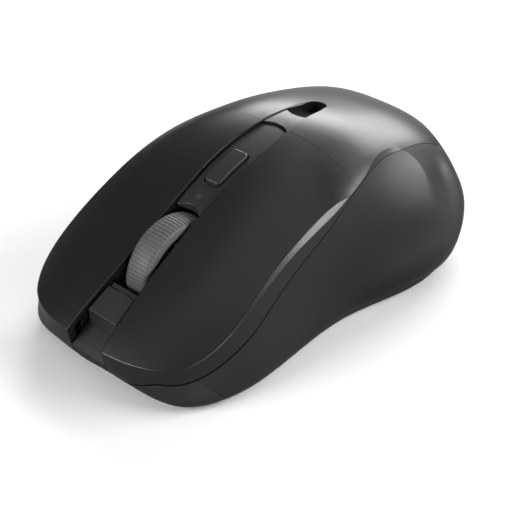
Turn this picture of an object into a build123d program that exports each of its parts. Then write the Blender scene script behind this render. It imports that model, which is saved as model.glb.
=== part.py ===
"""A full-size wireless mouse, built as separate shells, keys, wheel, boards and cells.

Frame: +Z up, the nose towards -Y, the user's left side (thumb) towards +X, and the
origin on the desk under the middle of the mouse. All sizes are in millimetres.
"""
from build123d import *
import os

os.makedirs("parts", exist_ok=True)

# ---------------------------------------------------------------- outer shape
# crown stations: (y, height on the centre line, drop at |x| = CROWN_REF)
CROWN = [
    (-62, 4.5, 11.0),
    (-52, 10.2, 9.8),
    (-40, 18.2, 7.3),
    (-25, 26.8, 5.8),
    (-10, 34.0, 7.6),
    (5, 37.9, 12.0),
    (17, 38.4, 17.2),
    (28, 36.4, 18.5),
    (37, 33.9, 19.2),
    (44, 30.6, 19.2),
    (50, 25.6, 19.0),
    (56, 18.0, 19.0),
]
CROWN_REF = 30.0
QUARTIC = 0.7  # share of the drop that follows the fourth power of x
# wall levels: (z, nose y, half-width at the front, waist and rear, tail y)
BASE_Z = 0.6
WALLS = [
    (BASE_Z, -46.2, 27.6, 26.4, 30.0, 49.9),
    (4, -50.1, 28.6, 26.4, 32.2, 51.3),
    (9, -51.6, 28.4, 26.0, 32.9, 51.7),
    (14, -52.6, 27.5, 25.9, 30.9, 51.3),
    (20, -53.6, 26.9, 25.8, 28.5, 49.9),
    (26, -54.2, 26.8, 25.5, 24.9, 47.6),
    (29, -54.3, 26.9, 25.2, 22.5, 45.8),
    (32, -54.4, 27.0, 24.7, 19.8, 43.8),
    (36, -54.5, 27.2, 23.2, 15.8, 42.0),
    (44, -54.6, 27.4, 18.0, 9.0, 41.0),
]
WAIST_Y, REAR_Y, FRONT_Y = 4.0, 26.0, -24.0
# front corner of the plan: (share of the front half-width, distance behind the nose), fuller at the base
NOSE_CORNER = [(0.42, 0.9), (0.76, 5.2), (0.95, 14.0)]
BASE_CORNER = [(0.42, 0.4), (0.82, 3.2), (0.985, 12.5)]
BASE_BLEND = 8.4
# tail corners: (share of the rear half-width, distance before the tail), fuller on the bulge than at the base
TAIL_CORNER = [(0.84, 9.5), (0.46, 2.0)]
BULGE_CORNER = [(0.92, 8.2), (0.60, 1.6)]
BULGE_FROM, BULGE_FULL = 7.0, 15.0

# ------------------------------------------------------- shells and their gaps
COVER_WALL = 1.9      # keys and palm cover
GRIP_WALL = 1.2       # soft side skins
CASE_WALL = 2.6       # depth of the case's inner face below the outer shape
FLOOR_TOP = 2.2
RIM_TOP = 1.9         # the case's rim shows below the side skins
SEAM = [(-60, 6.3), (-51.5, 6.5), (-46, 7.1), (-40, 9.2), (-35, 11.4), (-28, 14.5), (-22, 17.9),
        (-12, 23.0), (-3, 27.6), (4, 30.9), (12, 31.9), (21, 32.0), (29, 30.9), (38, 28.4),
        (44, 25.3), (50, 22.4), (60, 19.0)]
# the same seam across the nose: (|x|, z), from the middle outwards
NOSE_SEAM = [(0, 2.7), (8, 2.9), (12, 3.9), (16, 5.6), (20, 7.3), (26, 10.0)]
NOSE_SEAM_END = -45.0
KEY_BACKWARD = 0.35  # room behind the nose seam for the skirt, which swings back as a key goes down
SEAM_GAP = 0.12
KEY_SWING = 0.0063    # extra gap under the keys for each mm ahead of their hinge line
HINGE_Y = 7.0
NOSE_REACH = 50.0     # how far the keys' noses are in front of the middle
HINGE_CUT = 0.05

# --------------------------------------------------- channel between the keys
# plan outline: (y, half-width)
CHANNEL = [(-60, 5.5), (-51, 5.4), (-40, 4.6), (-28, 4.1), (-14, 4.3), (-3, 4.5),
           (8, 3.7), (17, 2.7), (21.6, 2.2)]
# bright edge facets: (y, size); a negative size leaves the edge alone
CREASE_FACET = [(-56, -1.5), (-48, -0.2), (-42, 0.12), (-36, 0.2), (-30, 0.42), (-22, 0.68), (-12, 0.75),
                (-5, 0.68), (0, 0.35), (4, -0.2), (9, -2.0), (14, -4.5)]
CREASE_SLOPE = 1.3
CHANNEL_FACET = [(-58, 0.15), (-50, 0.18), (-40, 0.35), (-25, 0.65), (-12, 1.0), (-4, 1.1), (3, 0.85),
                 (9, 0.25), (15, 0.25), (20, 0.2), (22, -0.6), (24, -3.2)]
WEB_DEPTH, WEB_WALL = 4.0, 1.0
TRAY_TOP, TRAY_DEPTH = 4.7, 5.7

# ---------------------------------------------------------------------- wheel
WHEEL_Y, WHEEL_Z, WHEEL_R, WHEEL_W = -25.0, 15.6, 12.2, 6.4
HUB_R = 10.4
AXLE_R, AXLE_FIT = 1.2, 0.05
PIVOT_Y, PIVOT_Z = -10.2, 12.0
ARM_IN, ARM_OUT = 4.2, 5.5
PRESS_BAR_Y = -40.3

# ----------------------------------------------------------- boards and bay
BOARD_Z, BOARD_T = 4.4, 1.6
BOARD_TOP = BOARD_Z + BOARD_T
SWITCH_X, SWITCH_Y = 13.5, -36.9
SWITCH_SIZE = (5.8, 12.8, 6.5)
PLUNGER_Y = -36.0
SENSOR_Y = -9.6
POST_Y = -2.3
DPI_Y, DPI_L, DPI_W = -8.7, 9.8, 4.5
BRIDGE_Y = (-46.2, -39.2)
CONSOLE_Y = (-20.3, 7.7)
SADDLE_Y = (5.6, 14.6)
END_R = 6.0           # plan radius of the console's rounded rear end and of the pocket
CELL_R, CELL_L, CELL_X, CELL_Y0, CELL_Z = 5.25, 44.5, 6.0, 3.0, 8.0
DOOR_HALF = 12.6
SCREWS = [(18.5, 9.5), (-18.5, 9.5), (14.8, 41.0), (-14.8, 41.0)]
RX_X, RX_Y, RX_W, RX_L, RX_H = 20.8, 25.0, 14.4, 18.6, 6.4


def crown_profile(station, drop):
    """Points across the crown at one station."""
    _, height, edge = station
    for x in (-42, -30, -20, -10, 0, 10, 20, 30, 42):
        s = (x / CROWN_REF) ** 2
        yield x, height - drop - edge * ((1 - QUARTIC) * s + QUARTIC * s * s)


def below_crown(drop=0.0):
    """Everything under the crown surface lowered by drop."""
    with BuildPart() as block:
        for station in CROWN:
            with BuildSketch(Plane((0, station[0], 0), x_dir=(1, 0, 0), z_dir=(0, -1, 0))):
                with BuildLine():
                    top = Spline(*crown_profile(station, drop))
                    Polyline(top @ 1, (42, -60), (-42, -60), top @ 0)
                make_face()
        loft()
    return block.part


def wall_outline(level, inset):
    """Plan outline at one level, drawn in from the outer shape by inset."""
    _, nose, front, waist, rear, tail = level
    nose, tail = nose + inset, tail - inset
    front, waist, rear = front - inset, waist - inset, rear - inset
    low = max(0.0, 1.0 - (level[0] - BASE_Z) / BASE_BLEND)
    high = min(1.0, max(0.0, (level[0] - BULGE_FROM) / (BULGE_FULL - BULGE_FROM)))
    tail_corner = [
        (share + high * (bulge_share - share), back + high * (bulge_back - back))
        for (share, back), (bulge_share, bulge_back) in zip(TAIL_CORNER, BULGE_CORNER)
    ]
    half = []
    for (share, back), (base_share, base_back) in zip(NOSE_CORNER, BASE_CORNER):
        width = share + low * (base_share - share)
        half.append((width * front, nose + back + low * (base_back - back)))
    half += [
        (front, FRONT_Y),
        (waist, WAIST_Y),
        (rear, REAR_Y),
        (tail_corner[0][0] * rear, tail - tail_corner[0][1]),
        (tail_corner[1][0] * rear, tail - tail_corner[1][1]),
    ]
    return [(0, nose)] + half + [(0, tail)] + [(-x, y) for x, y in reversed(half)]


def inside_walls(inset=0.0):
    """Everything inside the side surface, drawn in by inset."""
    with BuildPart() as block:
        for level in WALLS:
            with BuildSketch(Plane.XY.offset(level[0])):
                with BuildLine():
                    Spline(*wall_outline(level, inset), periodic=True)
                make_face()
        loft()
    return block.part


def above_seam(lift=0.0, swing=0.0):
    """Everything above the seam between the cover and the sides; swing opens it towards the nose."""
    with BuildPart() as block:
        with BuildSketch(Plane.YZ.offset(-45)):
            with BuildLine():
                seam = Spline(*[(y, z + lift + swing * max(0.0, HINGE_Y - y)) for y, z in SEAM])
                Polyline(seam @ 1, (60, 60), (-60, 60), seam @ 0)
            make_face()
        extrude(amount=90)
        nose_lift = lift + swing * (HINGE_Y + NOSE_REACH)
        side = [(x, z + nose_lift) for x, z in NOSE_SEAM]
        start = NOSE_SEAM_END - (KEY_BACKWARD if swing else 0.0)
        with BuildSketch(Plane((0, start, 0), x_dir=(1, 0, 0), z_dir=(0, -1, 0))):
            with BuildLine():
                front = Spline(*[(-x, z) for x, z in reversed(side)], *side[1:])
                Polyline(front @ 1, (26, 40), (-26, 40), front @ 0)
            make_face()
        extrude(amount=15)
    return block.part


def channel_prism(grow=0.0, y_from=-60.0, y_to=21.6):
    """The channel's plan outline, grown by grow and cut to a span of y."""
    with BuildPart() as block:
        with BuildSketch():
            with BuildLine():
                side = Spline(*[(w + grow, y) for y, w in CHANNEL])
                end = CHANNEL[-1]
                ThreePointArc(side @ 1, (0, end[0] + 0.8 * end[1] + grow), (-end[1] - grow, end[0]))
                Spline(*[(-w - grow, y) for y, w in reversed(CHANNEL)])
                Line((-CHANNEL[0][1] - grow, CHANNEL[0][0]), side @ 0)
            make_face()
        extrude(amount=60)
        if y_to < 21.6:
            split(bisect_by=Plane.XZ.offset(-y_to), keep=Keep.TOP)
        if y_from > -60.0:
            split(bisect_by=Plane.XZ.offset(-y_from), keep=Keep.BOTTOM)
    return block.part


def box(x0, x1, y0, y1, z0, z1):
    """A plain block between two corners."""
    corner = Align.MIN
    with BuildPart() as block:
        with Locations((x0, y0, z0)):
            Box(x1 - x0, y1 - y0, z1 - z0, align=(corner, corner, corner))
    return block.part


def post(x, y, z0, z1, radius):
    """A round upright."""
    with BuildPart() as block:
        with BuildSketch(Plane.XY.offset(z0)):
            with Locations((x, y)):
                Circle(radius)
        extrude(amount=z1 - z0)
    return block.part


def save(part, name):
    """Label one finished piece and write it."""
    solids = part.solids()
    part = solids[0] if len(solids) == 1 else Compound(children=list(solids))
    part.label = name
    export_step(part, f"parts/{name}.step")
    print(f"{name}: {len(solids)} solid(s), {part.volume:.1f} mm3")


# ------------------------------------------------------------- shared volumes
outer = inside_walls() & below_crown()
grip_core = inside_walls(GRIP_WALL)
case_core = inside_walls(CASE_WALL)
cover_void = inside_walls(COVER_WALL) & below_crown(COVER_WALL)
cover_zone = above_seam(SEAM_GAP)
key_zone = above_seam(SEAM_GAP, KEY_SWING)
side_zone = above_seam()
tub_wall = (outer - side_zone) - case_core
channel = channel_prism()
front_half = box(-50, 50, -70, HINGE_Y, -1, 60)
rear_half = box(-50, 50, HINGE_Y + HINGE_CUT, 70, -1, 60)


def channel_layer(top, bottom, grow=0.0, y_from=-60.0, y_to=21.6):
    """A strip of the channel between two depths below the crown."""
    strip = channel_prism(grow, y_from, y_to) & below_crown(top)
    return strip - below_crown(bottom)


# -------------------------------------------------------- edge facets of the cover
crown_face = outer.faces().sort_by(Axis.Z)[-1]


def crown_at(x, y):
    """Height of the crown over one point of the plan."""
    hit = crown_face.find_intersection_points(Axis((x, y, 0), (0, 0, 1)))
    return hit[0][0].Z


def crease_at(y):
    """(x, z) where the crown meets the side at one y."""
    best = (0, 0)
    for edge in crown_face.edges():
        for hit in edge.intersect(Plane.XZ.offset(-y)) or []:
            if hit.X > best[0]:
                best = (hit.X, hit.Z)
    return best


def channel_half_width(y):
    """Half-width of the channel, straight between its given stations."""
    for (y0, w0), (y1, w1) in zip(CHANNEL, CHANNEL[1:]):
        if y0 <= y <= y1:
            return w0 + (w1 - w0) * (y - y0) / (y1 - y0)
    return CHANNEL[-1][1]


def loft_sections(sections):
    """A loft through closed polygons given as (y, [(x, z), ...])."""
    with BuildPart() as block:
        for y, points in sections:
            with BuildSketch(Plane((0, y, 0), x_dir=(1, 0, 0), z_dir=(0, -1, 0))):
                Polygon(*points, align=None)
        loft()
    return block.part


def below_crease_facet():
    """Everything under a roof whose two slopes cut the crease."""
    sections = []
    for y, size in CREASE_FACET:
        x, z = crease_at(max(-50.0, y))
        eaves = 45.0
        ridge = z - size + CREASE_SLOPE * x
        foot = z - size - CREASE_SLOPE * (eaves - x)
        sections.append((y, [(0, ridge), (eaves, foot), (eaves, -60), (-eaves, -60), (-eaves, foot)]))
    return loft_sections(sections)


def channel_facet():
    """A V-shaped cutter that breaks the cover's edges along the channel at 45 degrees."""
    sections = []
    for y, size in CHANNEL_FACET:
        bottom = crown_at(0, max(-51.5, y)) - size - channel_half_width(y)
        sections.append((y, [(0, bottom), (30, bottom + 30), (-30, bottom + 30)]))
    return loft_sections(sections)


# ---------------------------------------------------------------- top cover
channel_cut = channel_facet()
def palm_cover():
    """The fixed rear of the top cover, with its saddle, pocket and screw posts."""
    shell = ((outer - cover_void) & cover_zone & rear_half) - channel - channel_cut
    saddle = channel_layer(0.3, 2.2, 0.3, *SADDLE_Y) & rear_half
    saddle -= post(0, CONSOLE_Y[1] - END_R, 0, 60, END_R + 0.35)
    saddle -= post(0, SADDLE_Y[1] + END_R - 1.4, 0, 60, END_R)
    pocket = channel_layer(1.5, 3.7, 1.2, SADDLE_Y[1] - 2.2, 21.6)
    pocket -= channel_prism(0.0, SADDLE_Y[1] - 1.6) - below_crown(2.7)
    cover = shell + saddle + pocket
    for x, y in SCREWS:
        stud = (post(x, y, 14.0, 34.0, 2.6) & cover_void) - tub_wall
        cover += stud - post(x, y, 13.0, 22.0, 1.1)
    save(cover, "palm_cover")


def key(side, name):
    """One key: its share of the cover, a web along the channel and a switch stem."""
    shell = ((outer - cover_void) & key_zone & front_half & below_crease_facet()) - channel_cut
    web = channel_prism(WEB_WALL) - channel
    web = (web & outer & front_half) - below_crown(WEB_DEPTH)
    stem_x = side * SWITCH_X
    stem_z = BOARD_TOP + SWITCH_SIZE[2] + 0.66
    stem = box(stem_x - 1.5, stem_x + 1.5, PLUNGER_Y - 1.5, PLUNGER_Y + 1.5, stem_z, 30)
    half = box(0, 50 * side, -70, 70, -1, 60) if side > 0 else box(50 * side, 0, -70, 70, -1, 60)
    web = web - box(-8, 8, -70, -47.8, -1, 60)
    solid = (shell + web) & half
    solid = (solid + (stem & cover_void)) - channel
    save(solid, name)


# ------------------------------------------------------------ sides and case
def side_band(y_from, y_to):
    """Side-view outline of the soft skins: a slanted front end over the bumper."""
    with BuildPart() as block:
        with BuildSketch(Plane.YZ.offset(-45)):
            Polygon((y_from, 12), (y_from + 8.5, RIM_TOP), (y_to, RIM_TOP), (y_to, 60), (y_from, 60),
                    align=None)
        extrude(amount=90)
    return block.part


def grip(side, name):
    """One soft side skin, from behind the front bumper round to the tail."""
    band = side_band(-46.0, 60.0)
    skin = ((outer - grip_core) & band) - side_zone
    half = box(11.0, 50, -70, 70, -1, 60) if side > 0 else box(-50, -11.0, -70, 70, -1, 60)
    save(skin & half, name)


def bottom_case():
    """The tub: floor, inner side walls, front bumper, tail panel, bosses and ribs."""
    body = outer - side_zone
    tub = body - (case_core & box(-50, 50, -70, 70, FLOOR_TOP, 60))
    skin = (outer - grip_core) & side_band(-46.15, 60.0)
    tub -= skin & box(10.9, 50, -70, 70, RIM_TOP - 0.1, 60)
    tub -= skin & box(-50, -10.9, -70, 70, RIM_TOP - 0.1, 60)
    # openings: cells, sensor, power switch, receiver, skates and screws
    tub -= box(-DOOR_HALF, DOOR_HALF, 1.2, 60, -1, RIM_TOP + 0.35)
    tub -= box(-4.2, 4.2, SENSOR_Y - 3.2, SENSOR_Y + 3.2, -1, 5)
    tub -= box(10.4, 18.6, -21.6, -18.4, -1, 5)
    x0, x1, y0, y1 = RX_X - RX_W / 2, RX_X + RX_W / 2, RX_Y - RX_L / 2, RX_Y + RX_L / 2
    tub += box(x0 - 1, x1, y0 - 1, y1 + 1, FLOOR_TOP - 0.2, RX_H + 2.0)
    tub -= box(x0, x1, y0, y1, -1, RX_H + 1.0)
    # low walls beside the cells
    for x in (-DOOR_HALF - 1.0, DOOR_HALF):
        tub += box(x, x + 1.0, 1.6, 46.0, FLOOR_TOP - 0.2, 10.0)
    for x, y in SCREWS:
        tub += post(x, y, FLOOR_TOP - 0.2, 13.9, 3.0)
        tub -= post(x, y, -1, 15.0, 1.3)
        tub -= post(x, y, -1, 3.4, 2.3)
    for x in (-19.0, 19.0):
        tub += post(x, -5.0, FLOOR_TOP - 0.2, BOARD_Z, 2.0) + post(x, -32.0, FLOOR_TOP - 0.2, BOARD_Z, 2.0)
        tub -= post(x, -5.0, 1.6, 6, 0.9) + post(x, -32.0, 1.6, 6, 0.9)
    for recess in skate_prism(0.25, 0.35).solids():
        tub -= recess
    save(tub, "bottom_case")


def skate_prism(grow, z_top):
    """The skates' shared plan: a bar under the nose and a bean on each side at the rear."""
    with BuildPart() as block:
        with BuildSketch():
            with Locations((0, -39.5)):
                SlotOverall(26 + 2 * grow, 6 + 2 * grow)
            for side in (-1, 1):
                with Locations(Location((side * 20.5, 41.5), side * -28)):
                    SlotOverall(6 + 2 * grow, 5.4 + 2 * grow)
        extrude(amount=BASE_Z + z_top)
    return block.part


def skates():
    """Three low-friction feet; their lower face is the resting plane."""
    prism = skate_prism(0.0, 0.3)
    parts = sorted(prism.solids(), key=lambda s: (round(s.center().Y), s.center().X))
    for name, solid in zip(("front_skate", "right_rear_skate", "left_rear_skate"), parts):
        save(solid, name)


def battery_door():
    """The sliding door under the cells, open at the tail so that it slides off."""
    door = box(-DOOR_HALF + 0.2, DOOR_HALF - 0.2, 1.4, 60, BASE_Z, RIM_TOP)
    door = door & outer
    for step in range(5):
        door -= box(-6, 6, 8 + 2.2 * step, 9.2 + 2.2 * step, 0, BASE_Z + 0.3)
    save(door, "battery_door")


# --------------------------------------------------------- channel furniture
def wheel_slot(extra):
    """Room for the turning wheel, its click and its axle line."""
    with BuildPart() as slot:
        with BuildSketch(Plane.YZ.offset(-WHEEL_W / 2 - extra)):
            with Locations((WHEEL_Y, WHEEL_Z)):
                Circle(WHEEL_R + extra)
        extrude(amount=WHEEL_W + 2 * extra)
    return slot.part


def channel_tray():
    """The dark floor of the channel, with the wheel's slot and the button board's posts."""
    tray = channel_layer(TRAY_TOP, TRAY_DEPTH, 1.7, -48.0, 15.5)
    tray += channel_layer(TRAY_TOP, TRAY_DEPTH, -0.3, -49.7, -47.5)
    plate = (outer - cover_void) & channel_prism(-0.3, -60.0, -40.0) & cover_zone
    tray += plate & below_crown(TRAY_TOP)
    tray -= wheel_slot(0.6)
    tray -= box(-3.6, 3.6, DPI_Y - 4.2, DPI_Y + 4.2, 0, 60)
    under_tray = below_crown(TRAY_TOP + 0.3)
    tray += post(0, POST_Y, FLOOR_TOP, 40, 1.8) & under_tray
    for x in (-5.0, 5.0):
        for y in (DPI_Y - 4.6, DPI_Y + 2.8):
            tray += post(x, y, 25.6, 40, 0.9) & under_tray
    save(tray, "channel_tray")


def front_bridge():
    """The low block that joins the keys' noses ahead of the wheel."""
    block = channel_layer(0.9, TRAY_TOP, -0.75, *BRIDGE_Y)
    block -= wheel_slot(1.2)
    step = box(-6, 6, BRIDGE_Y[1] - 1.5, BRIDGE_Y[1] + 1, 0, 60) - below_crown(1.6)
    block -= step
    save(block, "front_bridge")


def console_bar():
    """The strip behind the wheel that frames the button; concave at the wheel."""
    bar = channel_layer(0.8, 2.4, -0.35, *CONSOLE_Y)
    bar -= wheel_slot(1.0)
    bar -= post(0, CONSOLE_Y[0] - 4.0, 0, 60, 5.0)
    bar -= box(-6, 6, CONSOLE_Y[1] - 2, 20, 0, 60) - post(0, CONSOLE_Y[1] - END_R, 0, 60, END_R)
    bar -= button_prism(0.25)
    legs = box(-1.2, 1.2, 4.0, 6.0, 30, 38) + box(-1.2, 1.2, -15.7, -14.7, 20, 36)
    bar += legs & (below_crown(2.3) - below_crown(TRAY_TOP))
    bar -= indicator_prism(0.05)
    save(bar, "console_bar")


def button_prism(grow):
    """Rounded-rectangle outline of the button."""
    with BuildPart() as block:
        with BuildSketch():
            with Locations((0, DPI_Y)):
                RectangleRounded(DPI_W + 2 * grow, DPI_L + 2 * grow, 1.0)
        extrude(amount=60)
    return block.part


def indicator_prism(grow):
    """Outline of the small indicator window ahead of the button."""
    with BuildPart() as block:
        with BuildSketch():
            with Locations((0, -17.3)):
                RectangleRounded(1.8 + 2 * grow, 1.0 + 2 * grow, 0.3)
        extrude(amount=60)
    return block.part


def dpi_button():
    """The raised button cap with a stem over its switch."""
    cap = button_prism(0) & (below_crown(-0.1) - below_crown(2.2))
    cap = fillet(cap.faces().sort_by(Axis.Z)[-1].edges(), 0.35)
    cap += post(0, DPI_Y, 30.75, 33.0, 1.2)
    save(cap, "dpi_button")


def indicator_window():
    """A light guide set flush in the console."""
    save(indicator_prism(0) & (below_crown(0.75) - below_crown(2.4)), "indicator_window")


# ---------------------------------------------------------------------- wheel
def turned(profile):
    """A ring turned about the axle from (radius, x) points."""
    with BuildPart() as ring:
        with BuildSketch(Plane((0, WHEEL_Y, WHEEL_Z), x_dir=(0, 0, 1), z_dir=(0, 1, 0))):
            Polygon(*profile, align=None)
        revolve(axis=Axis((0, WHEEL_Y, WHEEL_Z), (1, 0, 0)))
    return ring.part


def wheel_tyre():
    """The soft tyre, with rounded shoulders."""
    half = WHEEL_W / 2
    ring = turned([(HUB_R, -half), (WHEEL_R - 0.9, -half), (WHEEL_R - 0.2, -half + 0.8),
                   (WHEEL_R, -half + 1.9), (WHEEL_R, half - 1.9), (WHEEL_R - 0.2, half - 0.8),
                   (WHEEL_R - 0.9, half), (HUB_R, half)])
    save(ring, "wheel_tyre")


def wheel_core():
    """The hub: rim, web with windows, and axle stubs."""
    half = WHEEL_W / 2 - 0.3
    core = turned([(0, -half), (2.6, -half), (2.6, -0.7), (HUB_R - 1.6, -0.7), (HUB_R - 1.6, -half),
                   (HUB_R, -half), (HUB_R, half), (HUB_R - 1.6, half), (HUB_R - 1.6, 0.7),
                   (2.6, 0.7), (2.6, half), (0, half)])
    core += turned([(0, -ARM_OUT), (AXLE_R, -ARM_OUT), (AXLE_R, ARM_OUT), (0, ARM_OUT)])
    with BuildPart() as windows:
        with BuildSketch(Plane((-2, WHEEL_Y, WHEEL_Z), x_dir=(0, 1, 0), z_dir=(1, 0, 0))):
            with PolarLocations(5.7, 12):
                Circle(1.0)
        extrude(amount=4)
    save(core - windows.part, "wheel_core")


def wheel_cradle():
    """The sprung cradle: two arms, a rear bar on pivot stubs and a front bar over its switch."""
    cradle = None
    for side in (-1, 1):
        with BuildPart() as arm:
            with BuildSketch(Plane.YZ.offset(side * ARM_IN if side > 0 else -ARM_OUT)):
                Polygon((PIVOT_Y + 2.0, PIVOT_Z - 2.0), (PIVOT_Y + 2.0, PIVOT_Z + 1.6),
                        (WHEEL_Y + 4.0, WHEEL_Z + 2.4), (WHEEL_Y - 4.0, WHEEL_Z + 1.0),
                        (PRESS_BAR_Y - 0.8, 11.0), (PRESS_BAR_Y - 0.8, 9.4), align=None)
            extrude(amount=ARM_OUT - ARM_IN)
        arm_part = arm.part
        cradle = arm_part if cradle is None else cradle + arm_part
    cradle += box(-ARM_OUT, ARM_OUT, PRESS_BAR_Y - 0.8, PRESS_BAR_Y + 0.8, 9.4, 11.0)
    cradle += box(-ARM_OUT, ARM_OUT, PIVOT_Y - 1.0, PIVOT_Y + 2.0, PIVOT_Z - 2.0, PIVOT_Z + 1.4)
    with BuildPart() as pivots:
        with BuildSketch(Plane.YZ.offset(-8.0)):
            with Locations((PIVOT_Y, PIVOT_Z)):
                Circle(1.0)
        extrude(amount=16)
    cradle += pivots.part
    with BuildPart() as bore:
        with BuildSketch(Plane.YZ.offset(-9.0)):
            with Locations((WHEEL_Y, WHEEL_Z)):
                Circle(AXLE_R + AXLE_FIT)
        extrude(amount=18)
    save(cradle - bore.part, "wheel_cradle")


def cradle_mounts():
    """Two uprights on the main board that hold the cradle's pivot stubs."""
    pair = None
    for side in (-1, 1):
        x0, x1 = sorted((side * 6.3, side * 8.0))
        upright = box(x0, x1, PIVOT_Y - 2.2, PIVOT_Y + 2.2, BOARD_TOP, PIVOT_Z + 2.4)
        pair = upright if pair is None else pair + upright
    with BuildPart() as bore:
        with BuildSketch(Plane.YZ.offset(-9.0)):
            with Locations((PIVOT_Y, PIVOT_Z)):
                Circle(1.05)
        extrude(amount=18)
    save(pair - bore.part, "cradle_mounts")


# ----------------------------------------------------------------- electronics
def main_board():
    """The main board, with slots for the wheel, the tray post and the sensor."""
    with BuildPart() as board:
        with BuildSketch(Plane.XY.offset(BOARD_Z)):
            Polygon((-22.0, -1.2), (22.0, -1.2), (22.0, -37.0), (14.0, -45.2), (-14.0, -45.2),
                    (-22.0, -37.0), align=None)
            with Locations((0, WHEEL_Y)):
                Rectangle(8.6, 20.0, mode=Mode.SUBTRACT)
            with Locations((0, POST_Y)):
                Circle(2.1, mode=Mode.SUBTRACT)
            with Locations((0, SENSOR_Y)):
                Rectangle(3.0, 3.0, mode=Mode.SUBTRACT)
            for x in (-19.0, 19.0):
                with Locations((x, -5.0), (x, -32.0)):
                    Circle(1.1, mode=Mode.SUBTRACT)
        extrude(amount=BOARD_T)
    save(board.part, "main_board")


def key_switch(side, word):
    """A snap switch body and its plunger, which the key's stem presses."""
    length = SWITCH_SIZE[1]
    x = side * SWITCH_X
    body = box(x - 2.9, x + 2.9, SWITCH_Y - length / 2, SWITCH_Y + length / 2, BOARD_TOP,
               BOARD_TOP + SWITCH_SIZE[2])
    top = BOARD_TOP + SWITCH_SIZE[2]
    well = box(x - 0.9, x + 0.9, PLUNGER_Y - 1.4, PLUNGER_Y + 1.4, top - 2.0, top + 1)
    save(body - well, f"{word}_switch")
    plunger = box(x - 0.8, x + 0.8, PLUNGER_Y - 1.3, PLUNGER_Y + 1.3, top - 1.4, top + 0.6)
    save(plunger, f"{word}_plunger")


def wheel_switch():
    """The switch under the cradle's front bar, and its plunger."""
    y = PRESS_BAR_Y
    body = box(-3.0, 3.0, y - 2.6, y + 3.0, BOARD_TOP, BOARD_TOP + 2.6)
    body -= post(0, y, BOARD_TOP + 0.8, 20, 1.3)
    save(body, "wheel_switch")
    save(post(0, y, BOARD_TOP + 1.5, 9.3, 1.2), "wheel_plunger")


def dpi_electronics():
    """The small board hung under the tray, its tact switch and the indicator lamp."""
    save(box(-6.4, 6.4, DPI_Y - 6.0, DPI_Y + 4.4, 24.6, 25.6), "dpi_board")
    switch = box(-3.0, 3.0, DPI_Y - 3.0, DPI_Y + 3.0, 25.6, 28.8)
    switch += post(0, DPI_Y, 28.8, 30.1, 1.5)
    save(switch, "dpi_switch")


def optics():
    """The tracking sensor over its lens, and the wheel's emitter and detector."""
    sensor = box(-4.6, 4.6, SENSOR_Y - 3.9, SENSOR_Y + 3.9, BOARD_TOP, BOARD_TOP + 2.2)
    save(sensor, "sensor_chip")
    lens = box(-7.0, 7.0, SENSOR_Y - 4.4, SENSOR_Y + 4.4, FLOOR_TOP, BOARD_Z)
    with BuildPart() as dome:
        with Locations((0, SENSOR_Y, FLOOR_TOP)):
            Sphere(1.3)
    save(lens + (dome.part & box(-5, 5, -20, 0, 0, FLOOR_TOP + 0.1)), "sensor_lens")
    for name, x in (("wheel_emitter", 8.6), ("wheel_detector", -8.6)):
        save(box(x - 1.3, x + 1.3, WHEEL_Y - 2.2, WHEEL_Y + 2.2, BOARD_TOP, WHEEL_Z + 1.0), name)


def board_parts():
    """Chips and passives soldered to the main board."""
    save(box(11.5, 18.5, -27.5, -20.5, BOARD_TOP, BOARD_TOP + 0.9), "controller_chip")
    save(box(-18.0, -14.0, -22.0, -11.0, BOARD_TOP, BOARD_TOP + 3.4), "crystal")
    cans = None
    for x, y in ((13.0, -13.0), (19.0, -13.0), (-14.5, -27.0)):
        can = post(x, y, BOARD_TOP, BOARD_TOP + 5.4, 2.0)
        cans = can if cans is None else cans + can
    save(cans, "capacitors")


def power_switch():
    """The slide switch under the board and the knob that sticks through the floor."""
    body = box(10.0, 19.0, -22.0, -18.0, 3.1, BOARD_Z)
    save(body, "power_switch")
    knob = box(10.7, 15.3, -21.35, -18.65, 0.75, 2.1) + box(12.4, 13.6, -20.6, -19.4, 2.0, 3.05)
    save(knob, "power_slider")


# ---------------------------------------------------------------------- power
def cell(side, name):
    """One small cylindrical cell with its raised terminal."""
    with BuildPart() as body:
        with BuildSketch(Plane.XZ.offset(-CELL_Y0)):
            with Locations((side * CELL_X, CELL_Z)):
                Circle(CELL_R)
        extrude(amount=-(CELL_L - 0.9))
        fillet(body.edges().filter_by(GeomType.CIRCLE), 0.5)
        with BuildSketch(Plane.XZ.offset(-(CELL_Y0 + CELL_L - 1.0))):
            with Locations((side * CELL_X, CELL_Z)):
                Circle(1.9)
        extrude(amount=-1.0)
    save(body.part, name)


def contacts():
    """Sheet contacts at both ends of the cells, and the leaf springs at the near end."""
    front = None
    back = box(-8.6, 8.6, CELL_Y0 + CELL_L, CELL_Y0 + CELL_L + 0.4, 5.6, 11.0)
    for side in (-1, 1):
        x = side * CELL_X
        plate = box(x - 4.6, x + 4.6, 1.65, 2.05, 4.6, 12.4)
        leaf = box(x - 1.6, x + 1.6, 2.05, CELL_Y0, CELL_Z - 1.6, CELL_Z + 1.6)
        plate += leaf
        front = plate if front is None else front + plate
    save(front, "spring_contacts")
    save(back, "rear_contact")


def receiver():
    """The stowed USB receiver: a plastic grip and a metal plug."""
    half = RX_W / 2 - 0.2
    y0, y1 = RX_Y - RX_L / 2 + 0.2, RX_Y + RX_L / 2 - 0.2
    save(box(RX_X - half, RX_X + half, y0, y0 + 6.0, 0.8, RX_H), "receiver_shell")
    plug = box(RX_X - 6.0, RX_X + 6.0, y0 + 6.0, y1, 1.2, 5.7)
    plug -= box(RX_X - 5.5, RX_X + 5.5, y0 + 7.5, y1 + 1, 3.4, 5.2)
    save(plug, "receiver_plug")


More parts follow.
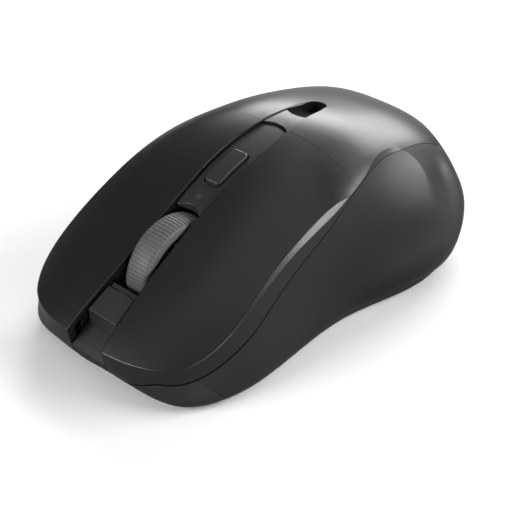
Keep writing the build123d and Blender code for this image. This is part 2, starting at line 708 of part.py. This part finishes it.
def screws():
    """Four long case screws and four short board screws."""
    group = None
    for x, y in SCREWS:
        screw = post(x, y, 1.6, 3.3, 2.1) + post(x, y, 3.2, 20.0, 1.08)
        screw -= box(x - 0.3, x + 0.3, y - 1.4, y + 1.4, 1.0, 2.4)
        screw -= box(x - 1.4, x + 1.4, y - 0.3, y + 0.3, 1.0, 2.4)
        group = screw if group is None else group + screw
    save(group, "case_screws")
    group = None
    for x in (-19.0, 19.0):
        for y in (-5.0, -32.0):
            screw = post(x, y, BOARD_TOP, BOARD_TOP + 1.2, 1.8) + post(x, y, 1.8, BOARD_TOP + 0.1, 0.9)
            group = screw if group is None else group + screw
    save(group, "board_screws")


palm_cover()
key(1, "left_key")
key(-1, "right_key")
grip(1, "left_grip")
grip(-1, "right_grip")
bottom_case()
skates()
battery_door()
channel_tray()
front_bridge()
console_bar()
dpi_button()
indicator_window()
wheel_tyre()
wheel_core()
wheel_cradle()
cradle_mounts()
main_board()
key_switch(1, "left")
key_switch(-1, "right")
wheel_switch()
dpi_electronics()
optics()
board_parts()
power_switch()
cell(1, "left_cell")
cell(-1, "right_cell")
contacts()
receiver()
screws()
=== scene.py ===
# %% [markdown]
# A wireless mouse, finished in Blender
# The CAD model already holds the shells, keys, wheel and boards at their real size.
# This script loads it as a fixed frame and gives it surfaces, a finer tyre, light and a camera.
# Everything is in metres, with +Z up, the nose towards -Y and the thumb side towards +X.

# %% Load the frame
import math

import bmesh
import bpy
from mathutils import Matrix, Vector


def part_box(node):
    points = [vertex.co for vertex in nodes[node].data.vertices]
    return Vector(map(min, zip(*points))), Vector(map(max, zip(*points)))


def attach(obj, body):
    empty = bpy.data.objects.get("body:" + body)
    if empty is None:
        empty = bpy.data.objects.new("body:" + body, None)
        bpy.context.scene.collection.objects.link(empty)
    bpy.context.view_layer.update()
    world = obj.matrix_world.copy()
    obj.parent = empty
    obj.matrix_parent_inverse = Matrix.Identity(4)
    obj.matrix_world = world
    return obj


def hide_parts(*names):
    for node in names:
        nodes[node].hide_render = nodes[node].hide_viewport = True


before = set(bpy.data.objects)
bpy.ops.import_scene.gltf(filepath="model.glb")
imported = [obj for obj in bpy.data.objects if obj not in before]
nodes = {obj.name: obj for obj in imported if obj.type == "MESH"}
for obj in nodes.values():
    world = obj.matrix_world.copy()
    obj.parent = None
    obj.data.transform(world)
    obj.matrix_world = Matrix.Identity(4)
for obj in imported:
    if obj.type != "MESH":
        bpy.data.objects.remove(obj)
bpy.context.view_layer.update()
MM = 0.001


# %% [markdown]
# Shared effects
# Moulded plastic is never perfectly even: its tool leaves a fine grain, hands leave faint patches
# where the gloss changes, and dust settles on what faces up. Image textures could hold all that,
# but noise in the shader stays sharp at any distance and needs no unwrapping. Each effect is a node
# group with its own inputs, so that a material only sets its numbers. The groups give out only
# masks and heights, and the shader stays in the material, where it is easy to find.

# %% Node group helpers
def new_group(name, inputs, outputs):
    """A shader node group with float sockets."""
    group = bpy.data.node_groups.new(name, "ShaderNodeTree")
    for label, value in inputs:
        socket = group.interface.new_socket(label, in_out="INPUT", socket_type="NodeSocketFloat")
        socket.default_value = value
    for label in outputs:
        group.interface.new_socket(label, in_out="OUTPUT", socket_type="NodeSocketFloat")
    return group, group.nodes.new("NodeGroupInput"), group.nodes.new("NodeGroupOutput")


def object_spot(tree):
    """The point on the piece, in object coordinates."""
    return tree.nodes.new("ShaderNodeTexCoord").outputs["Object"]


def noise_at(tree, scale, detail, roughness=0.5):
    """Noise on object coordinates, with its scale taken from a socket."""
    noise = tree.nodes.new("ShaderNodeTexNoise")
    noise.inputs["Detail"].default_value = detail
    noise.inputs["Roughness"].default_value = roughness
    tree.links.new(object_spot(tree), noise.inputs["Vector"])
    tree.links.new(scale, noise.inputs["Scale"])
    return noise.outputs["Fac"]


def ramp(tree, value, low, high):
    """Stretches value so that low becomes 0 and high becomes 1."""
    stretch = tree.nodes.new("ShaderNodeMapRange")
    stretch.inputs["From Min"].default_value = low
    stretch.inputs["From Max"].default_value = high
    tree.links.new(value, stretch.inputs["Value"])
    return stretch.outputs["Result"]


def combine(tree, operation, first, second):
    """Two sockets through one Math node."""
    sums = tree.nodes.new("ShaderNodeMath")
    sums.operation = operation
    tree.links.new(first, sums.inputs[0])
    tree.links.new(second, sums.inputs[1])
    return sums.outputs[0]


def split_axes(tree, vector):
    """The X, Y and Z outputs of a vector."""
    axes = tree.nodes.new("ShaderNodeSeparateXYZ")
    tree.links.new(vector, axes.inputs[0])
    return axes.outputs


def facing(tree):
    """The true normal of the surface."""
    return tree.nodes.new("ShaderNodeNewGeometry").outputs["Normal"]


# %% Fine moulded grain
grain_group, grain_in, grain_out = new_group(
    "moulded_grain", [("Scale", 4200.0), ("Depth", 1.0)], ["Height", "Fleck"])
FLECK_LOW, FLECK_HIGH = 0.35, 0.65
pits = noise_at(grain_group, grain_in.outputs["Scale"], 1.0, 0.6)
height = combine(grain_group, "MULTIPLY", pits, grain_in.outputs["Depth"])
fleck = ramp(grain_group, pits, FLECK_LOW, FLECK_HIGH)
grain_group.links.new(height, grain_out.inputs["Height"])
grain_group.links.new(fleck, grain_out.inputs["Fleck"])
print("grain group ready")

# %% Patches from handling
smudge_group, smudge_in, smudge_out = new_group(
    "handling_patches", [("Scale", 60.0)], ["Patch"])
PATCH_LOW, PATCH_HIGH = 0.32, 0.68
broad = noise_at(smudge_group, smudge_in.outputs["Scale"], 3.0, 0.55)
patch = ramp(smudge_group, broad, PATCH_LOW, PATCH_HIGH)
smudge_group.links.new(patch, smudge_out.inputs["Patch"])
print("patch group ready")

# %% Settled dust
dust_group, dust_in, dust_out = new_group(
    "settled_dust", [("Scale", 1500.0), ("Cut", 0.72)], ["Dust"])
STEEP, LEVEL = 0.3, 1.0
specks = noise_at(dust_group, dust_in.outputs["Scale"], 0.0)
specks_left = combine(dust_group, "GREATER_THAN", specks, dust_in.outputs["Cut"])
upward = ramp(dust_group, split_axes(dust_group, facing(dust_group))["Z"], STEEP, LEVEL)
settled = combine(dust_group, "MULTIPLY", specks_left, upward)
dust_group.links.new(settled, dust_out.inputs["Dust"])
print("dust group ready")

# %% [markdown]
# Plastics, rubbers and metals
# Most of a mouse is dark plastic, but no two of its plastics are the same: the cover is satin, the
# side skins are matte and soft, and the case round the nose has a coarser grain. One function
# builds them all from the same effects, and each finish gets its own colour, gloss and grain.
#
# Soft edges
# A real moulding has a small radius on every edge, and the CAD edges are sharp. A Bevel modifier
# would round them, but a CAD mesh is loose triangles and stays as it is. So the Bevel shader node
# turns the normal near an edge and the highlight runs round it. Only the shading changes: the
# outline and the mesh keep their sharp edges. Where a soft edge would do harm, ramps along
# an axis switch it off: on the keys it stops before the hinge, and on the side skins it covers only
# the crease behind the thumb, with the widest radius of all.

# %% Material helpers
def new_material(name):
    """A material with its node tree and its shader."""
    material = bpy.data.materials.new(name)
    material.use_nodes = True
    return material, material.node_tree, material.node_tree.nodes["Principled BSDF"]


def group_node(tree, group, **values):
    """A group placed in a material, with its inputs set."""
    node = tree.nodes.new("ShaderNodeGroup")
    node.node_tree = group
    for label, value in values.items():
        node.inputs[label].default_value = value
    return node


def mix_colour(tree, factor, first, second):
    """Mixes two colours, or sockets, by a factor socket."""
    mix = tree.nodes.new("ShaderNodeMix")
    mix.data_type = "RGBA"
    tree.links.new(factor, mix.inputs["Factor"])
    for socket, value in ((mix.inputs["A"], first), (mix.inputs["B"], second)):
        if isinstance(value, bpy.types.NodeSocket):
            tree.links.new(value, socket)
        else:
            socket.default_value = (*value, 1.0)
    return mix.outputs["Result"]


def uneven_gloss(tree, shader, patch_scale, smooth, rough):
    """Roughness that drifts from smooth to rough over the handling patches."""
    patches = group_node(tree, smudge_group, Scale=patch_scale).outputs["Patch"]
    drift = tree.nodes.new("ShaderNodeMapRange")
    drift.inputs["To Min"].default_value = smooth
    drift.inputs["To Max"].default_value = rough
    tree.links.new(patches, drift.inputs["Value"])
    tree.links.new(drift.outputs["Result"], shader.inputs["Roughness"])
    return patches


# %% Soft edges
EDGE_SAMPLES = 16


def fade_along(tree, softened, fades):
    """The softened normal where every (axis, none, full) ramp is 1, the true one elsewhere."""
    spot = split_axes(tree, object_spot(tree))
    share, *others = [ramp(tree, spot[axis], none, full) for axis, none, full in fades]
    for other in others:
        share = combine(tree, "MULTIPLY", share, other)
    blend = tree.nodes.new("ShaderNodeMix")
    blend.data_type = "VECTOR"
    tree.links.new(share, blend.inputs["Factor"])
    tree.links.new(facing(tree), blend.inputs["A"])
    tree.links.new(softened, blend.inputs["B"])
    return blend.outputs["Result"]


def soft_edge(tree, radius, fades):
    """A normal that is turned within radius of an edge, inside the ramps if there are any."""
    soften = tree.nodes.new("ShaderNodeBevel")
    soften.samples = EDGE_SAMPLES
    soften.inputs["Radius"].default_value = radius
    softened = soften.outputs["Normal"]
    return fade_along(tree, softened, fades) if fades else softened


# %% One moulding, many finishes
HANDLED_SCALE = 55.0
DUST_SCALE, DUST_COLOUR = 1300.0, (0.32, 0.31, 0.3)
GRAIN_HEIGHT = 0.01 * MM
SMOOTHEST, ROUGHEST = 0.02, 1.0


def moulded(name, colour, gloss, spread=0.05, grain=4200.0, depth=0.5, tint=1.25,
            dust=0.0, metal=0.0, specular=0.5, edge=0.0, fades=()):
    """A moulded finish. gloss is the roughness and spread how much it varies. grain is the scale of
    the grain, depth its height in hundredths of a mm, and tint how much lighter its flecks are.
    edge is the radius in mm that sharp edges seem to have, and fades the ramps that limit where."""
    material, tree, shader = new_material(name)
    grain_node = group_node(tree, grain_group, Scale=grain, Depth=depth)
    light_colour = [min(1.0, channel * tint) for channel in colour]
    base = mix_colour(tree, grain_node.outputs["Fleck"], colour, light_colour)
    if dust > 0.0:
        dust_node = group_node(tree, dust_group, Scale=DUST_SCALE, Cut=1.0 - dust)
        base = mix_colour(tree, dust_node.outputs["Dust"], base, DUST_COLOUR)
    tree.links.new(base, shader.inputs["Base Color"])
    uneven_gloss(tree, shader, HANDLED_SCALE,
                 max(SMOOTHEST, gloss - spread), min(ROUGHEST, gloss + spread))
    bump = tree.nodes.new("ShaderNodeBump")
    bump.inputs["Distance"].default_value = GRAIN_HEIGHT
    tree.links.new(grain_node.outputs["Height"], bump.inputs["Height"])
    if edge > 0.0:
        tree.links.new(soft_edge(tree, edge * MM, fades), bump.inputs["Normal"])
    tree.links.new(bump.outputs["Normal"], shader.inputs["Normal"])
    shader.inputs["Metallic"].default_value = metal
    shader.inputs["Specular IOR Level"].default_value = specular
    return material


# %% The outer shells
SATIN_BLACK = (0.0085, 0.0085, 0.0089)
KEY_FADES = [("Y", 0.003, -0.004)]
CREASE_FADES = [("Y", 0.012, 0.020), ("Z", 0.003, 0.006), ("Z", 0.027, 0.023)]
moulded("cover_satin", SATIN_BLACK, 0.31, 0.03, 5200, 0.3)
moulded("key_satin", SATIN_BLACK, 0.31, 0.03, 5200, 0.3, edge=0.45, fades=KEY_FADES)
moulded("grip_soft", (0.0085, 0.0088, 0.0088), 0.42, 0.04, 3200, 1.2, 1.35, specular=0.45,
        edge=3.0, fades=CREASE_FADES)
moulded("case_texture", (0.0125, 0.0130, 0.0130), 0.40, 0.05, 2600, 1.4, 1.3, edge=0.2)
moulded("console_satin", (0.018, 0.019, 0.019), 0.34, 0.05, 4600, 0.5, edge=0.22)
moulded("tray_dark", (0.009, 0.009, 0.0095), 0.45, 0.06, 3000, 0.8)
tyre_rubber = moulded("tyre_rubber", (0.085, 0.088, 0.088), 0.55, 0.06, 3800, 1.2, 1.3, dust=0.18)
moulded("hub_plastic", (0.03, 0.03, 0.032), 0.42)
moulded("skate_pad", (0.05, 0.05, 0.052), 0.38, 0.08, 2200, 0.8)
print(len(bpy.data.materials), "finishes for the outside")

# %% The works inside
moulded("board_mask", (0.012, 0.09, 0.035), 0.35, 0.08, 900, 1.5, 0.75)
moulded("switch_black", (0.012, 0.012, 0.013), 0.4)
moulded("plunger_cream", (0.55, 0.5, 0.42), 0.4, 0.05)
moulded("chip_epoxy", (0.015, 0.015, 0.016), 0.55, 0.06, 2800, 1.2)
moulded("zinc_steel", (0.62, 0.62, 0.6), 0.32, 0.1, 1800, 0.8, 0.85, metal=1.0)
moulded("nickel_sheet", (0.72, 0.7, 0.66), 0.22, 0.08, 1500, 0.6, 0.9, metal=1.0)
moulded("cell_sleeve", (0.05, 0.09, 0.14), 0.25, 0.05, 1800, 0.3)
moulded("can_sleeve", (0.6, 0.6, 0.62), 0.3, 0.08, metal=1.0)
print(len(bpy.data.materials), "finishes with the inside")

# %% [markdown]
# Clear parts
# The tracking lens, the wheel's emitter and the indicator's light guide are clear mouldings.
# Clear plastic is a transmissive surface, with a faint flow pattern in its gloss and its colour.

# %% Clear plastic
FLOW_SCALE, FLOW_SPREAD, FLOW_TINT = 300.0, 0.06, 0.94
CLEARNESS, ACRYLIC_IOR = 0.9, 1.49


def clear(name, colour, gloss):
    """A clear moulding, with gloss as its lowest roughness."""
    material, tree, shader = new_material(name)
    flow = uneven_gloss(tree, shader, FLOW_SCALE, gloss, gloss + FLOW_SPREAD)
    base = mix_colour(tree, flow, colour, [channel * FLOW_TINT for channel in colour])
    tree.links.new(base, shader.inputs["Base Color"])
    shader.inputs["Transmission Weight"].default_value = CLEARNESS
    shader.inputs["IOR"].default_value = ACRYLIC_IOR


clear("lens_clear", (0.92, 0.94, 0.96), 0.05)
clear("window_smoke", (0.35, 0.36, 0.36), 0.2)
print(len(bpy.data.materials), "finishes in all")

# %% [markdown]
# Finishes on pieces
# Every CAD piece keeps its mesh and takes one finish. A table from finish to pieces is easier to
# check than a line for each piece, and what is missing from it is printed.

# %% Give each CAD piece its finish
FINISH = {
    "cover_satin": ["palm_cover"],
    "key_satin": ["left_key", "right_key"],
    "grip_soft": ["left_grip", "right_grip"],
    "case_texture": ["bottom_case", "battery_door"],
    "console_satin": ["front_bridge", "console_bar", "dpi_button"],
    "tray_dark": ["channel_tray"],
    "tyre_rubber": ["wheel_tyre"],
    "hub_plastic": ["wheel_core", "wheel_cradle", "cradle_mounts"],
    "skate_pad": ["front_skate", "left_rear_skate", "right_rear_skate"],
    "board_mask": ["main_board", "dpi_board"],
    "switch_black": ["left_switch", "right_switch", "wheel_switch", "dpi_switch", "power_switch",
                     "receiver_shell"],
    "plunger_cream": ["left_plunger", "right_plunger", "wheel_plunger", "power_slider"],
    "chip_epoxy": ["sensor_chip", "controller_chip", "wheel_detector"],
    "zinc_steel": ["crystal", "case_screws", "board_screws", "receiver_plug"],
    "nickel_sheet": ["spring_contacts", "rear_contact"],
    "cell_sleeve": ["left_cell", "right_cell"],
    "can_sleeve": ["capacitors"],
    "lens_clear": ["sensor_lens", "wheel_emitter"],
    "window_smoke": ["indicator_window"],
}
for finish, members in FINISH.items():
    for member in members:
        piece = nodes[member]
        piece.data.materials.clear()
        piece.data.materials.append(bpy.data.materials[finish])
unfinished = sorted(set(nodes) - {member for members in FINISH.values() for member in members})
print("finished", len(nodes) - len(unfinished), "CAD pieces; left over:", unfinished)

# %% [markdown]
# The wheel's tyre
# The real tyre is a rubber ring with rounded shoulders and fine ribs across its tread, so that a
# finger grips it. The CAD ring is smooth, so it is replaced. An array of rib blocks could be joined
# to a ring, but the ribs are moulded in one piece with it. So a spin carries the ring's profile
# round the axle, and every second strip of the tread is then inset and pushed down, which leaves a
# rib between each pair of grooves.

# %% Tyre profile
TYRE_BORE = 10.0 * MM
SHOULDER = [(0.0, 1.0 * MM), (0.35 * MM, 0.4 * MM), (1.1 * MM, 0.08 * MM)]
tyre_low, tyre_high = (Vector(corner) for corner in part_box("wheel_tyre"))
axle = (tyre_low + tyre_high) / 2
tyre_half = (tyre_high.x - tyre_low.x) / 2
tyre_outer = (tyre_high.z - tyre_low.z) / 2
side = [(tyre_half, TYRE_BORE)]
side += [(tyre_half - inward, tyre_outer - down) for inward, down in SHOULDER]
profile = [(-x, r) for x, r in side] + [(0.0, tyre_outer)] + side[::-1]
print("tyre", round(2 * tyre_outer / MM, 2), "mm across, profile of", len(profile), "points")

# %% Spin the ring
TYRE_STEPS = 168
MERGE = 0.001 * MM
edit = bmesh.new()
ring = [edit.verts.new((axle.x + x, axle.y, axle.z + r)) for x, r in profile]
rim_edges = [edit.edges.new((ring[k], ring[(k + 1) % len(ring)])) for k in range(len(ring))]
bmesh.ops.spin(edit, geom=ring + rim_edges, cent=axle, axis=(1.0, 0.0, 0.0),
               dvec=(0.0, 0.0, 0.0), angle=math.tau, steps=TYRE_STEPS, use_merge=True)
bmesh.ops.remove_doubles(edit, verts=edit.verts, dist=MERGE)
bmesh.ops.recalc_face_normals(edit, faces=edit.faces)
print("ring of", len(edit.faces), "faces")

# %% Cut the grooves
GROOVE_DEPTH, GROOVE_EDGE = 0.16 * MM, 0.05 * MM
TREAD_DROP = 0.5 * MM


def tread_turn(face):
    """The face's angle round the axle, in steps, or None off the tread."""
    spot = face.calc_center_median() - axle
    if math.hypot(spot.y, spot.z) < tyre_outer - TREAD_DROP:
        return None
    return int(round(math.atan2(spot.y, spot.z) / math.tau * TYRE_STEPS - 0.5))


tread = [(face, tread_turn(face)) for face in edit.faces]
grooves = [face for face, turn in tread if turn is not None and turn % 2 == 0]
bmesh.ops.inset_region(edit, faces=grooves, thickness=GROOVE_EDGE, depth=-GROOVE_DEPTH,
                       use_even_offset=True, use_boundary=True)
print("groove faces", len(grooves))

# %% Tyre piece
SHARP_ANGLE = math.radians(40)
tyre_mesh = bpy.data.meshes.new("ribbed_tyre")
edit.to_mesh(tyre_mesh)
edit.free()
ribbed_tyre = bpy.data.objects.new("ribbed_tyre", tyre_mesh)
bpy.context.scene.collection.objects.link(ribbed_tyre)
tyre_mesh.materials.append(tyre_rubber)
tyre_mesh.shade_smooth()
tyre_mesh.set_sharp_from_angle(angle=SHARP_ANGLE)
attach(ribbed_tyre, "wheel")
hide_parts("wheel_tyre")
print("tyre", len(tyre_mesh.polygons), "faces")

# %% [markdown]
# Floor and background
# A plain white sheet lies under the mouse and ends in a white background. Dark satin plastic shows
# mostly what it reflects, and white all round would turn it grey. So a Light Path node gives the
# sheet and the background two shades: white to the camera, and darker in reflections. The Standard
# view transform keeps that white plain white.

# %% Floor
FLOOR_HALF = 0.85
FLOOR_REFLECTED, FLOOR_SEEN = (0.30, 0.30, 0.30), (0.95, 0.95, 0.95)
PAPER_ROUGHNESS = 0.9


def seen_or_reflected(tree, reflected, seen):
    """One colour where the camera looks straight at it, and another in reflections and bounces."""
    path = tree.nodes.new("ShaderNodeLightPath")
    return mix_colour(tree, path.outputs["Is Camera Ray"], reflected, seen)


floor_mesh = bpy.data.meshes.new("floor")
edit = bmesh.new()
bmesh.ops.create_grid(edit, x_segments=1, y_segments=1, size=FLOOR_HALF)
edit.to_mesh(floor_mesh)
edit.free()
floor = bpy.data.objects.new("floor", floor_mesh)
bpy.context.scene.collection.objects.link(floor)
paper, paper_tree, paper_shader = new_material("studio_paper")
paper_tree.links.new(seen_or_reflected(paper_tree, FLOOR_REFLECTED, FLOOR_SEEN),
                     paper_shader.inputs["Base Color"])
paper_shader.inputs["Roughness"].default_value = PAPER_ROUGHNESS
floor_mesh.materials.append(paper)
print("floor", 2 * FLOOR_HALF, "m wide")

# %% Background
ROOM_REFLECTED, ROOM_SEEN = (0.10, 0.10, 0.103), (1.0, 1.0, 1.0)
room = bpy.data.worlds.new("studio")
bpy.context.scene.world = room
room.use_nodes = True
room.node_tree.links.new(seen_or_reflected(room.node_tree, ROOM_REFLECTED, ROOM_SEEN),
                         room.node_tree.nodes["Background"].inputs["Color"])
bpy.context.scene.view_settings.view_transform = "Standard"
print("background ready")

# %% [markdown]
# Soft boxes
# Small lamps would leave hard spots on satin, so every light is a wide box, and each is there for
# one highlight: on the dome behind the palm, along the crease on the thumb side, round the nose, on
# the side skin and on the bulge behind the thumb. A large one overhead softens the shadows.

# %% Soft boxes
def soft_box(name, place, aim, size, power):
    """An area light at place that points at aim, both in metres."""
    light = bpy.data.lights.new(name, "AREA")
    light.shape = "RECTANGLE"
    light.size, light.size_y = size
    light.energy = power
    lamp = bpy.data.objects.new(name, light)
    bpy.context.scene.collection.objects.link(lamp)
    lamp.location = place
    lamp.rotation_euler = (Vector(aim) - Vector(place)).to_track_quat("-Z", "Y").to_euler()


soft_box("dome_box", (-0.42, 0.95, 0.52), (0.0, 0.02, 0.02), (1.1, 0.35), 12.0)
soft_box("crease_box", (0.66, 0.58, 0.53), (0.02, 0.0, 0.02), (0.85, 0.22), 9.0)
soft_box("nose_box", (-0.36, -0.92, 0.46), (0.0, -0.03, 0.02), (0.6, 0.35), 9.0)
soft_box("grip_box", (1.0, -0.36, 0.20), (0.03, -0.02, 0.01), (0.55, 0.32), 4.0)
soft_box("bulge_box", (0.72, 0.80, 0.26), (0.03, 0.03, 0.01), (0.7, 0.4), 1.2)
soft_box("ceiling_box", (0.0, 0.0, 1.5), (0.0, 0.0, 0.0), (1.5, 1.5), 4.0)
print(len(bpy.data.lights), "soft boxes")

# %% [markdown]
# Camera
# The camera looks at the nose and the thumb side from above, close and through a long lens. Its
# place is an angle round the mouse, an angle above the floor and a distance from the point it aims
# at, because those three can be changed one at a time.

# %% Camera
VIEW_TURN, VIEW_RISE = math.radians(43.36), math.radians(33.99)
VIEW_REACH = 0.2998
VIEW_AIM = Vector((0.0082, -0.0080, 0.0140))
LENS_MM, SENSOR_MM = 94.54, 36.0
NEAREST_SEEN = 0.01
back = Vector((math.sin(VIEW_TURN) * math.cos(VIEW_RISE),
               -math.cos(VIEW_TURN) * math.cos(VIEW_RISE),
               math.sin(VIEW_RISE)))
lens = bpy.data.cameras.new("camera")
lens.lens = LENS_MM
lens.sensor_width = SENSOR_MM
lens.clip_start = NEAREST_SEEN
lens.dof.use_dof = False
camera = bpy.data.objects.new("camera", lens)
bpy.context.scene.collection.objects.link(camera)
camera.location = VIEW_AIM + back * VIEW_REACH
camera.rotation_euler = (-back).to_track_quat("-Z", "Y").to_euler()
bpy.context.scene.camera = camera
print("camera at", [round(value, 4) for value in camera.location])
